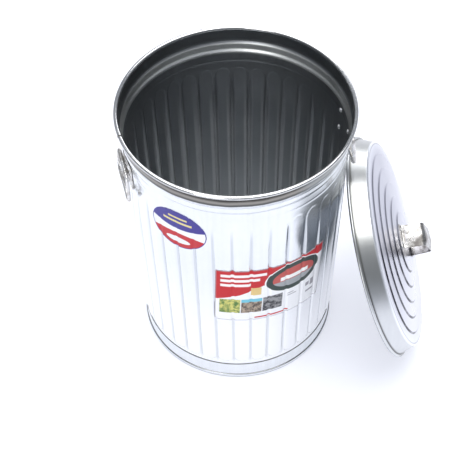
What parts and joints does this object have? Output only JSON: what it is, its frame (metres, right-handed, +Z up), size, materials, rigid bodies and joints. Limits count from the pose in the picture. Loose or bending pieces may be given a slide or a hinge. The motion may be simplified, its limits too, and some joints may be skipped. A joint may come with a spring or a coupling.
{
  "type": "lidded waste bin",
  "caption": "Tall fluted galvanised steel bin with a rolled rim, drop handles and a loose domed lid with a strap handle leaning on it.",
  "frame": {"origin": "on the floor at the axis of the bin's body, in the plane it rests on", "axes": "+Z up along the bin's axis, front towards -Y, the lid leans on the +X side"},
  "size_m": [0.6074, 0.4631, 0.577],
  "materials": {
    "galvanised_sheet": "hot-dip galvanised, low sheen with faint spangle",
    "galvanised_lid": "galvanised, a little brighter on the crown",
    "plated_wire": "zinc plated wire, satin",
    "plated_fittings": "pressed zinc plated sheet, satin",
    "rivet_steel": "domed steel rivets, satin",
    "printed_paper": null
  },
  "bodies": {
    "can": {"body_shell": "galvanised_sheet", "rim_wire": "plated_wire", "side_seam": "galvanised_sheet", "base_pan": "galvanised_sheet", "base_hoop": "galvanised_sheet", "left_handle_plate": "plated_fittings", "left_plate_rivets": "rivet_steel", "left_knuckle": "plated_fittings", "right_handle_plate": "plated_fittings", "right_plate_rivets": "rivet_steel", "right_knuckle": "plated_fittings", "oval_sticker": "printed_paper", "front_label": "printed_paper"},
    "left_handle": {"left_bail": "plated_wire", "left_grip": "plated_fittings"},
    "right_handle": {"right_bail": "plated_wire", "right_grip": "plated_fittings"},
    "lid": {"lid_shell": "galvanised_lid", "lid_hem_wire": "plated_wire", "lid_handle": "plated_fittings", "lid_handle_rivets": "rivet_steel"}
  },
  "joints": [
    {"name": "left_bail_hinge", "type": "hinge", "parent": "can", "child": "left_handle", "pos_m": [-0.2033, -0.05183, 0.488], "axis": [-0.247, 0.969, 0], "range_deg": [0, 150]},
    {"name": "right_bail_hinge", "type": "hinge", "parent": "can", "child": "right_handle", "pos_m": [0.20696, 0.0344, 0.488], "axis": [0.164, -0.9865, 0], "range_deg": [0, 150]},
    {"name": "lid_lift", "type": "slide", "parent": "can", "child": "lid", "axis": [0.9351, -0.0539, 0.3502], "range_m": [0, 0.25]}
  ]
}
